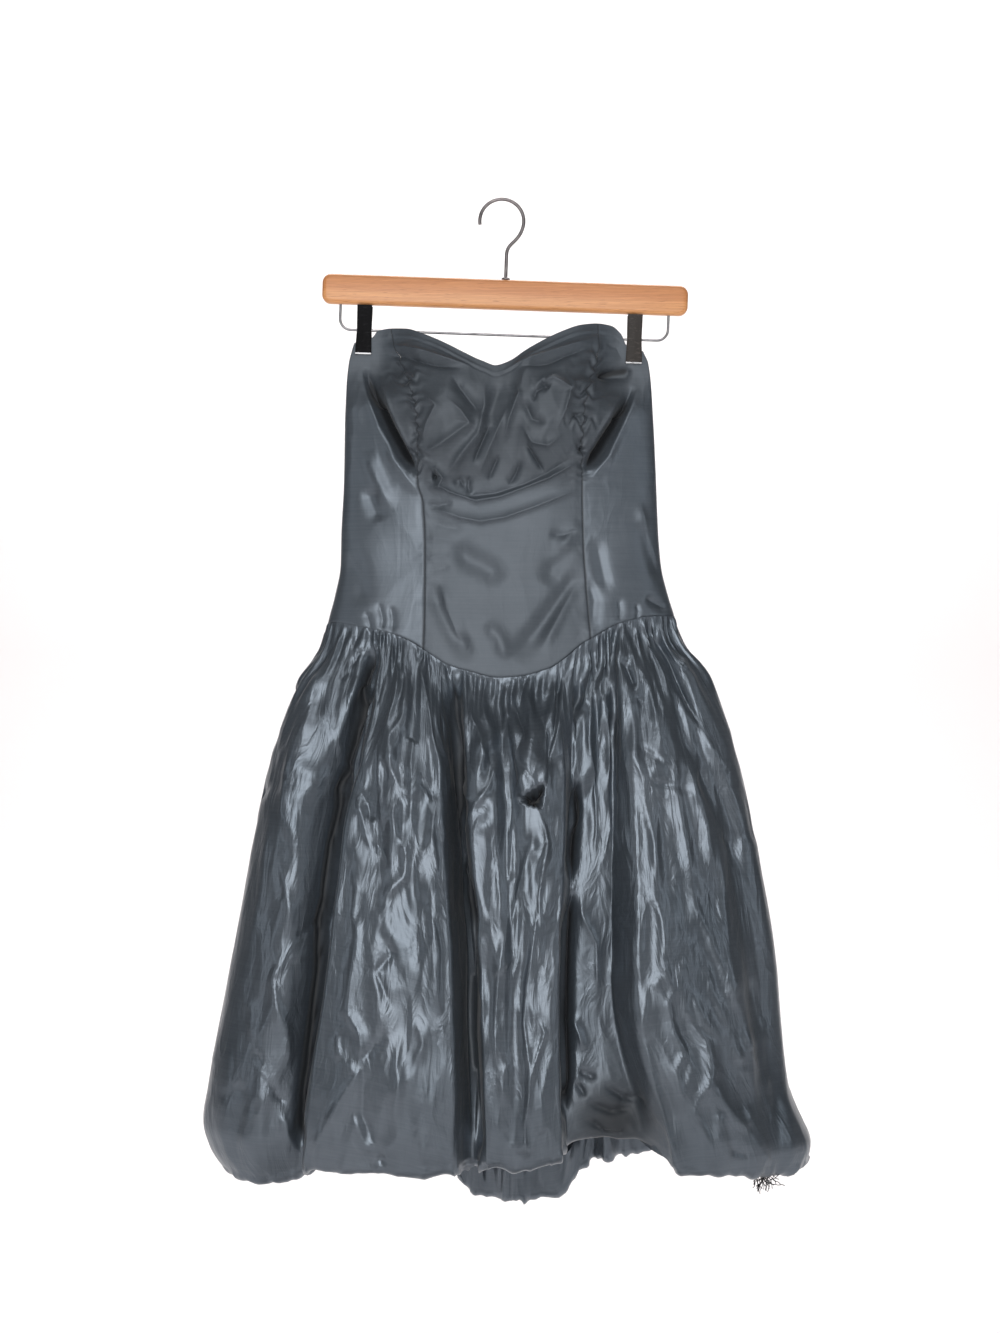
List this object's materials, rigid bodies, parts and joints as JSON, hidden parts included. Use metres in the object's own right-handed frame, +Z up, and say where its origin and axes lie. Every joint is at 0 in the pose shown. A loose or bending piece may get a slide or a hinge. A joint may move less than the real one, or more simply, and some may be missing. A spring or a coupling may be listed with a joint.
{
  "type": "strapless dress on a clip hanger",
  "caption": "Strapless taffeta dress with sweetheart neckline, pointed drop waist and gathered bubble skirt, clipped to a wooden hanger with a wire hook.",
  "frame": {"origin": "the inside top of the hanger's hook, where it bears on a peg, rail or rod", "axes": "+Z up, the dress faces -Y, +X to the right as its front is looked at"},
  "size_m": [0.5993, 0.2713, 1.0261],
  "materials": {
    "taffeta": "crisp slate taffeta with a soft sheen",
    "zip": "woven tape and nylon coil",
    "zip_metal": "satin paint",
    "wood": "satin varnish on beech",
    "steel": "plated wire",
    "black_metal": "black lacquer"
  },
  "bodies": {
    "dress": {"centre_front": "taffeta", "side_front_left": "taffeta", "side_front_right": "taffeta", "back_left": "taffeta", "back_right": "taffeta", "skirt_front": "taffeta", "skirt_back": "taffeta", "zip_coil": "zip", "zip_slider": "zip_metal", "hanger_bar": "wood", "hanger_hook": "steel", "hanger_rail": "steel", "clip_left": "black_metal", "clip_right": "black_metal"},
    "pull": {"zip_pull": "zip_metal"}
  },
  "joints": [
    {"name": "zip_pull_hinge", "type": "hinge", "parent": "dress", "child": "pull", "pos_m": [-0.003, 0.0246, -0.1846], "axis": [1, 0, 0], "range_deg": [0, 165]}
  ]
}
